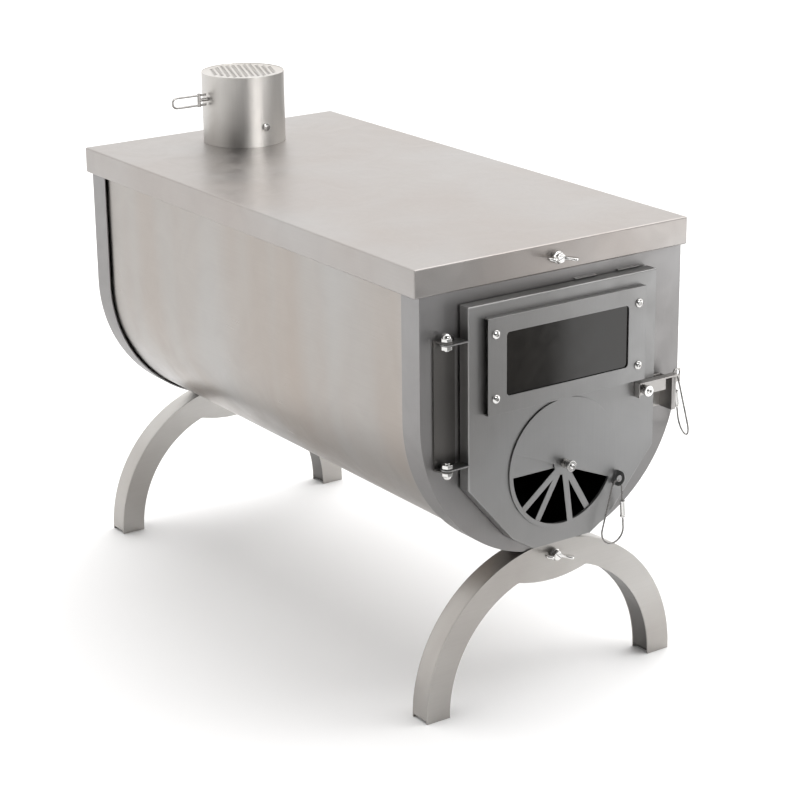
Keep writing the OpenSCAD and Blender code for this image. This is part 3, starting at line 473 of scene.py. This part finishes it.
def thread(radius, y0, y1, pitch, depth):
    """Profile of a screw thread from y0 to y1 as grooves."""
    count = max(1, round(abs(y1 - y0) / pitch))
    step = (y1 - y0) / count
    points = [(radius - depth, y0)]
    for i in range(count):
        points.append((radius, y0 + (i + 0.4) * step))
        points.append((radius, y0 + (i + 0.6) * step))
        points.append((radius - depth, y0 + (i + 1) * step))
    return points


# The camera: its bearing from the stove's long axis, its tilt, its lean, lens and place
CAMERA_AZIMUTH, CAMERA_ELEVATION, CAMERA_ROLL = (math.radians(a) for a in (34.50, 18.77, -0.68))
CAMERA_LENS = 106.54
CAMERA_SENSOR = 36
CAMERA_PLACE = (-0.9050, -1.3497, 0.6962)


class STOVE_OT_camera(Operator):
    """Sets the camera at the viewing angle that the studio picture has"""

    bl_idname = "stove.camera"
    bl_label = "Camera"

    def execute(self, context):
        ahead = Vector((
            math.sin(CAMERA_AZIMUTH) * math.cos(CAMERA_ELEVATION),
            math.cos(CAMERA_AZIMUTH) * math.cos(CAMERA_ELEVATION),
            -math.sin(CAMERA_ELEVATION)))
        right = Vector((math.cos(CAMERA_AZIMUTH), -math.sin(CAMERA_AZIMUTH), 0))
        up = right.cross(ahead)
        across = right * math.cos(CAMERA_ROLL) + up * math.sin(CAMERA_ROLL)
        over = up * math.cos(CAMERA_ROLL) - right * math.sin(CAMERA_ROLL)
        data = bpy.data.cameras.new("stove_camera")
        data.sensor_fit = "HORIZONTAL"
        data.sensor_width = CAMERA_SENSOR
        data.lens = CAMERA_LENS
        data.clip_start, data.clip_end = 0.05, 50
        camera = bpy.data.objects.new("stove_camera", data)
        turn = Matrix((across, over, -ahead)).transposed()
        camera.matrix_world = Matrix.Translation(CAMERA_PLACE) @ turn.to_4x4()
        context.scene.collection.objects.link(camera)
        context.scene.camera = camera
        return {"FINISHED"}


class STOVE_OT_lid(Operator):
    """Makes the folded lid"""

    bl_idname = "stove.lid"
    bl_label = "Lid"

    def execute(self, context):
        sizes = context.scene.stove_sizes
        low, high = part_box("lid")
        bm = merged_copy("lid")
        outer = [
            e for e in sharp_edges(bm)
            if all(
                min(abs(v.co.x - low.x), abs(v.co.x - high.x)) < ON_PLANE
                or min(abs(v.co.y - low.y), abs(v.co.y - high.y)) < ON_PLANE
                for v in e.verts)
            and all(v.co.z > high.z - ON_PLANE for v in e.verts)
        ]
        corners = [
            e for e in sharp_edges(bm)
            if all(
                min(abs(v.co.x - low.x), abs(v.co.x - high.x)) < ON_PLANE
                and min(abs(v.co.y - low.y), abs(v.co.y - high.y)) < ON_PLANE
                for v in e.verts)
        ]
        round_edges(bm, list(set(outer + corners)), sizes.fold, 4)
        finish_piece(bm, "lid_finished", ["lid"], "lid")
        return {"FINISHED"}


class STOVE_OT_body(Operator):
    """Makes the two end plates and the rolled side sheet"""

    bl_idname = "stove.body"
    bl_label = "Body"

    def execute(self, context):
        sizes = context.scene.stove_sizes
        pressed("front_plate", "plate", sizes.fold, sizes.sheet_edge)
        pressed("rear_plate", "plate", sizes.fold, sizes.sheet_edge)
        dressed("side_sheet", "side", sizes.sheet_edge * 0.5)
        return {"FINISHED"}


class STOVE_OT_legs(Operator):
    """Makes the two arched legs from their faces, backs and strips"""

    bl_idname = "stove.legs"
    bl_label = "Legs"

    def execute(self, context):
        sizes = context.scene.stove_sizes
        for end in ("front", "rear"):
            for part in ("face", "back", "outer_strip"):
                dressed(f"{end}_leg_{part}", "legs", sizes.sheet_edge)
            # Painted shade: the inner strip under the arch gets the darker steel that stands in for its shade
            dressed(f"{end}_leg_inner_strip", "painted_shade", sizes.sheet_edge)
        return {"FINISHED"}


class STOVE_OT_fasteners(Operator):
    """Makes the wing bolts, nuts and small screws"""

    bl_idname = "stove.fasteners"
    bl_label = "Fasteners"

    def execute(self, context):
        sizes = context.scene.stove_sizes
        for node in ("lid_wing_bolts", "leg_wing_bolts"):
            dressed(node, "bright", sizes.casting_edge, 3, 40)
        for node in ("lid_bolt_nuts", "leg_bolt_nuts", "hinge_acorn_nuts", "hinge_lock_nuts",
                     "window_screws", "window_nuts", "flue_screw"):
            dressed(node, "bright", sizes.turned_edge, 2, 40)
        dressed("hinge_bolts", "bright", sizes.turned_edge)
        return {"FINISHED"}


class STOVE_OT_hinge(Operator):
    """Makes the hinge bracket and the latch keeper"""

    bl_idname = "stove.hinge"
    bl_label = "Hinge and keeper"

    def execute(self, context):
        sizes = context.scene.stove_sizes
        # Painted shade: the hinge bracket gets the darker steel that stands in for its shade
        dressed("hinge_bracket", "painted_shade", sizes.sheet_edge)
        dressed("keeper", "fittings", sizes.sheet_edge)
        return {"FINISHED"}


class STOVE_OT_door(Operator):
    """Makes the door pan, the window cover and its dark glass"""

    bl_idname = "stove.door"
    bl_label = "Door"

    def execute(self, context):
        sizes = context.scene.stove_sizes
        pressed("door_pan", "door", sizes.fold, sizes.sheet_edge)
        pressed("window_cover", "door", sizes.fold, sizes.sheet_edge)
        dressed("window_glass", "glass", sizes.sheet_edge)
        return {"FINISHED"}


class STOVE_OT_air_disc(Operator):
    """Makes the rotary air disc"""

    bl_idname = "stove.air_disc"
    bl_label = "Air disc"

    def execute(self, context):
        dressed("air_disc", "door", context.scene.stove_sizes.sheet_edge)
        return {"FINISHED"}


# Sprung bolts: shank and drilled point, thread, and the head's height, rim and crown
SHANK_R = 1.75 * MM
POINT_R = 0.8 * MM
POINT_DEPTH = 0.9 * MM
POINT_BEVEL = 0.35 * MM
THREAD_LENGTH = 5 * MM
THREAD_PITCH = 0.6 * MM
THREAD_DEPTH = 0.2 * MM
HEAD_H = 2 * MM
HEAD_RIM = 0.2 * MM
CROWN_H = 0.9 * MM
CROWN_IN = 1.4 * MM


def sprung_bolt(node):
    """A round headed bolt with a thread at its free end and a drilled point."""
    low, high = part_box(node)
    head_r = (high.x - low.x) / 2
    end = low.y
    profile = [
        (0, end + POINT_DEPTH),
        (POINT_R - 0.05 * MM, end + POINT_DEPTH),
        (POINT_R, end + 0.1 * MM),
        (SHANK_R - POINT_BEVEL, end),
    ]
    profile += thread(
        SHANK_R, end + HEAD_RIM, end + THREAD_LENGTH, THREAD_PITCH, THREAD_DEPTH)
    profile += [
        (SHANK_R, end + THREAD_LENGTH + 0.1 * MM),
        (SHANK_R, high.y - HEAD_H),
        (head_r - HEAD_RIM, high.y - HEAD_H),
        (head_r, high.y - HEAD_H + HEAD_RIM),
        (head_r, high.y - CROWN_H),
        (head_r - 0.5 * MM, high.y - 0.25 * MM),
        (head_r - CROWN_IN, high.y),
        (0, high.y),
    ]
    bm = turned(profile)
    bmesh.ops.translate(
        bm, vec=((low.x + high.x) / 2, 0, (low.z + high.z) / 2), verts=bm.verts)
    finish_piece(bm, node + "_finished", [node], "bright", smooth=38)


# Springs: turns, points to a turn, closed turns at each end, and their rise in wire radii
COIL_TURNS, COIL_POINTS, COIL_CLOSED = 5.0, 20, 0.75
CLOSED_PITCH = 2.05


def coil(node):
    """A compression spring with closed ends, wound between its neighbours."""
    wire = bpy.context.scene.stove_sizes.spring_wire
    low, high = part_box(node)
    radius = (high.x - low.x) / 2 - wire
    y0, y1 = low.y + wire, high.y - wire
    curve = bpy.data.curves.new(node + "_finished", "CURVE")
    curve.dimensions = "3D"
    curve.bevel_depth = wire
    curve.bevel_resolution = 3
    curve.use_fill_caps = True
    line = curve.splines.new("POLY")
    count = int(COIL_TURNS * COIL_POINTS)
    line.points.add(count)
    open_turns = COIL_TURNS - 2 * COIL_CLOSED
    closed_rise = CLOSED_PITCH * wire * COIL_CLOSED
    for i in range(count + 1):
        turn = i / COIL_POINTS
        if turn < COIL_CLOSED:
            y = y0 + CLOSED_PITCH * wire * turn
        elif turn > COIL_TURNS - COIL_CLOSED:
            y = y1 - CLOSED_PITCH * wire * (COIL_TURNS - turn)
        else:
            share = (turn - COIL_CLOSED) / open_turns
            y = y0 + closed_rise + (y1 - y0 - 2 * closed_rise) * share
        angle = 2 * math.pi * turn
        line.points[i].co = (
            (low.x + high.x) / 2 + radius * math.cos(angle), y,
            (low.z + high.z) / 2 + radius * math.sin(angle), 1)
    piece = bpy.data.objects.new(node + "_finished", curve)
    curve.materials.append(finishes()["spring"])
    bpy.context.scene.collection.objects.link(piece)
    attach(piece, BODY_OF[node])
    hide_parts(node)


class STOVE_OT_sprung_bolts(Operator):
    """Makes the sprung bolts of the disc and the latch, with their springs and nuts"""

    bl_idname = "stove.sprung_bolts"
    bl_label = "Sprung bolts"

    def execute(self, context):
        sizes = context.scene.stove_sizes
        for part in ("disc", "latch"):
            sprung_bolt(part + "_bolt")
            coil(part + "_spring")
            dressed(part + "_nut", "bright", sizes.turned_edge, 3, 40)
        return {"FINISHED"}


class STOVE_OT_latch(Operator):
    """Makes the latch arm"""

    bl_idname = "stove.latch"
    bl_label = "Latch"

    def execute(self, context):
        dressed("latch_arm", "fittings", context.scene.stove_sizes.sheet_edge)
        return {"FINISHED"}


# The loop of a pull ring, in its own plane
RING_TOP_R = 4 * MM
RING_LOW_R = 9.1 * MM
RING_AXIS = 30.7 * MM
RING_POINTS = 170
STRANDS = 6
DISC_RING_TURN = math.radians(5.8)


def ring_line(count):
    """Points and directions along a pull ring's closed centre line, evenly spaced."""
    lean = math.asin((RING_LOW_R - RING_TOP_R) / RING_AXIS)
    half_top = math.pi / 2 - lean
    half_low = math.pi / 2 + lean
    straight = RING_AXIS * math.cos(lean)
    lengths = [2 * half_top * RING_TOP_R, straight, 2 * half_low * RING_LOW_R, straight]
    total = sum(lengths)
    points = []
    for i in range(count):
        s = total * i / count
        if s < lengths[0]:
            a = -half_top + s / RING_TOP_R
            p = Vector((RING_TOP_R * math.sin(a), 0, RING_TOP_R * math.cos(a)))
            d = Vector((math.cos(a), 0, -math.sin(a)))
        elif s < lengths[0] + lengths[1]:
            a = half_top
            d = Vector((math.cos(a), 0, -math.sin(a)))
            start = Vector((RING_TOP_R * math.sin(a), 0, RING_TOP_R * math.cos(a)))
            p = start + d * (s - lengths[0])
        elif s < sum(lengths[:3]):
            a = half_top + (s - lengths[0] - lengths[1]) / RING_LOW_R
            p = Vector((RING_LOW_R * math.sin(a), 0, RING_LOW_R * math.cos(a) - RING_AXIS))
            d = Vector((math.cos(a), 0, -math.sin(a)))
        else:
            a = -half_top
            d = Vector((math.cos(a), 0, -math.sin(a)))
            end = Vector((RING_TOP_R * math.sin(a), 0, RING_TOP_R * math.cos(a)))
            p = end - d * (total - s)
        points.append((p, d))
    return points, total


def cable_ring(node, place):
    """A loop of stranded cable: six strands laid round a core."""
    sizes = bpy.context.scene.stove_sizes
    strand = sizes.cable / 3
    curve = bpy.data.curves.new(node + "_finished", "CURVE")
    curve.dimensions = "3D"
    curve.bevel_depth = strand
    curve.bevel_resolution = 1
    points, total = ring_line(RING_POINTS)
    laps = round(total / sizes.cable_lay)
    side = Vector((0, 1, 0))
    for k in range(STRANDS + 1):
        line = curve.splines.new("POLY")
        line.points.add(len(points) - 1)
        line.use_cyclic_u = True
        for i, (p, d) in enumerate(points):
            angle = 2 * math.pi * (laps * i / len(points) + k / STRANDS)
            out = (side * math.cos(angle) + d.cross(side) * math.sin(angle)) * 2 * strand
            at = place @ (p if k == STRANDS else p + out)
            line.points[i].co = (*at, 1)
    piece = bpy.data.objects.new(node + "_finished", curve)
    curve.materials.append(finishes()["cable"])
    bpy.context.scene.collection.objects.link(piece)
    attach(piece, BODY_OF[node])
    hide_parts(node)


class STOVE_OT_pull_rings(Operator):
    """Makes the two cable rings with their screw barrels"""

    bl_idname = "stove.pull_rings"
    bl_label = "Pull rings"

    def execute(self, context):
        sizes = context.scene.stove_sizes
        disc = Matrix.Translation(JOINT["disc_ring_swing"]["pos_m"])
        disc = disc @ Matrix.Rotation(DISC_RING_TURN, 4, "Y")
        latch = Matrix.Translation(JOINT["latch_ring_swing"]["pos_m"])
        across = Vector(JOINT["latch_ring_swing"]["axis"])
        latch = latch @ Matrix.Rotation(math.atan2(-across.x, across.y), 4, "Z")
        latch = latch @ Matrix.Rotation(math.asin(across.z), 4, "X")
        for part, place in (("disc", disc), ("latch", latch)):
            cable_ring(part + "_ring", place)
            dressed(part + "_ring_barrel", "bright", sizes.turned_edge * 0.6, 2, 40)
        return {"FINISHED"}


class STOVE_OT_flue(Operator):
    """Makes the flue sleeve, its collar, the spark screen and the damper"""

    bl_idname = "stove.flue"
    bl_label = "Flue"

    def execute(self, context):
        sizes = context.scene.stove_sizes
        dressed("flue_collar", "flue", sizes.sheet_edge * 0.5)
        dressed("flue_sleeve", "flue", sizes.sheet_edge * 0.7)
        dressed("spark_screen", "flue", 0)
        dressed("damper_plate", "flue", sizes.sheet_edge)
        dressed("damper_spindle", "fittings", sizes.turned_edge * 0.5)
        return {"FINISHED"}


# Direction of the studio's open side, where no wall returns the light, and how far round
# towards it the surround starts to darken and is darkest
OPEN_SIDE = (-0.30, -0.95, 0.05)
FADE_START, FADE_END = 0.05, 0.72
# The broad light from above falls this way, from a wide sheet
OVERHEAD_WAY = (-0.4, -0.12, -1)
OVERHEAD_WIDTH = math.radians(75)
# Soft boxes: place, aim and size
RIGHT_BOX = ((0.36, -0.44, 0.17), (0.1, -0.21, 0.17), (0.3, 0.3))
FLUE_BOX = ((0.08, -0.62, 0.6), (0, 0.17, 0.4), (0.9, 0.4))
FLUE_BOX_SPREAD = 40
FLOOR_HALF = 9


def soft_box(name, place, aim, size, power, spread=180):
    """A soft rectangular light at a place, turned to an aim, with the spread of its grid."""
    data = bpy.data.lights.new(name, "AREA")
    data.spread = math.radians(spread)
    data.shape = "RECTANGLE"
    data.size, data.size_y = size
    data.energy = power
    light = bpy.data.objects.new(name, data)
    light.location = place
    light.rotation_euler = (Vector(aim) - Vector(place)).to_track_quat("-Z", "Y").to_euler()
    light.visible_camera = False
    bpy.context.scene.collection.objects.link(light)


def studio_surround(settings):
    """A white studio that darkens softly towards the open side at the camera."""
    world = bpy.data.worlds.new("white_surround")
    world.use_nodes = True
    tree = world.node_tree
    tree.nodes.clear()
    ray = add_node(tree, "ShaderNodeTexCoord").outputs["Generated"]
    toward = add_node(
        tree, "ShaderNodeVectorMath",
        {0: ray, 1: OPEN_SIDE}, operation="DOT_PRODUCT")
    fade = add_node(tree, "ShaderNodeValToRGB", {"Fac": toward.outputs["Value"]})
    fade.color_ramp.interpolation = "EASE"
    fade.color_ramp.elements[0].position = FADE_START
    fade.color_ramp.elements[0].color = four(linear("#fdfcfb"))
    fade.color_ramp.elements[1].position = FADE_END
    fade.color_ramp.elements[1].color = four(linear("#4a4a4b"))
    light = add_node(
        tree, "ShaderNodeBackground",
        {"Color": fade.outputs["Color"], "Strength": settings.sky})
    add_node(tree, "ShaderNodeOutputWorld", {"Surface": light.outputs["Background"]})
    bpy.context.scene.world = world


class STOVE_OT_stage(Operator):
    """Lays the pale floor and sets the soft studio lights"""

    bl_idname = "stove.stage"
    bl_label = "Stage"

    def execute(self, context):
        settings = context.scene.stove_stage
        bm = bmesh.new()
        bmesh.ops.create_grid(bm, x_segments=2, y_segments=2, size=FLOOR_HALF)
        mesh = bpy.data.meshes.new("studio_floor")
        bm.to_mesh(mesh)
        bm.free()
        mesh.materials.append(finishes()["floor"])
        floor = bpy.data.objects.new("studio_floor", mesh)
        context.scene.collection.objects.link(floor)
        studio_surround(settings)
        data = bpy.data.lights.new("overhead_light", "SUN")
        data.energy = settings.overhead
        data.angle = OVERHEAD_WIDTH
        sun = bpy.data.objects.new("overhead_light", data)
        sun.rotation_euler = Vector(OVERHEAD_WAY).to_track_quat("-Z", "Y").to_euler()
        context.scene.collection.objects.link(sun)
        soft_box("right_box", *RIGHT_BOX, settings.side)
        soft_box("flue_box", *FLUE_BOX, settings.flue_side, FLUE_BOX_SPREAD)
        context.scene.view_settings.view_transform = "Standard"
        return {"FINISHED"}


class STOVE_PT_panel(Panel):
    """Buttons for every group of pieces"""

    bl_idname = "STOVE_PT_panel"
    bl_label = "Tent wood stove"
    bl_space_type = "VIEW_3D"
    bl_region_type = "UI"
    bl_category = "Stove"

    def draw(self, context):
        layout = self.layout
        for operator in OPERATORS:
            layout.operator(operator.bl_idname)
        for group in ("stove_sizes", "stove_colours", "stove_stage"):
            settings = getattr(context.scene, group)
            for name in settings.__annotations__:
                layout.prop(settings, name)


OPERATORS = (
    STOVE_OT_camera,
    STOVE_OT_lid,
    STOVE_OT_body,
    STOVE_OT_legs,
    STOVE_OT_fasteners,
    STOVE_OT_hinge,
    STOVE_OT_door,
    STOVE_OT_air_disc,
    STOVE_OT_sprung_bolts,
    STOVE_OT_latch,
    STOVE_OT_pull_rings,
    STOVE_OT_flue,
    STOVE_OT_stage,
)
GROUPS = (
    ("stove_sizes", StoveSizes),
    ("stove_colours", StoveColours),
    ("stove_stage", StoveStage),
)


def register():
    for name, group in GROUPS:
        bpy.utils.register_class(group)
        setattr(bpy.types.Scene, name, PointerProperty(type=group))
    for operator in OPERATORS:
        bpy.utils.register_class(operator)
    bpy.utils.register_class(STOVE_PT_panel)


def unregister():
    bpy.utils.unregister_class(STOVE_PT_panel)
    for operator in reversed(OPERATORS):
        bpy.utils.unregister_class(operator)
    for name, group in reversed(GROUPS):
        delattr(bpy.types.Scene, name)
        bpy.utils.unregister_class(group)


def main():
    register()
    bpy.ops.stove.camera()
    bpy.ops.stove.lid()
    bpy.ops.stove.body()
    bpy.ops.stove.legs()
    bpy.ops.stove.fasteners()
    bpy.ops.stove.hinge()
    bpy.ops.stove.door()
    bpy.ops.stove.air_disc()
    bpy.ops.stove.sprung_bolts()
    bpy.ops.stove.latch()
    bpy.ops.stove.pull_rings()
    bpy.ops.stove.flue()
    bpy.ops.stove.stage()


if __name__ == "__main__":
    main()
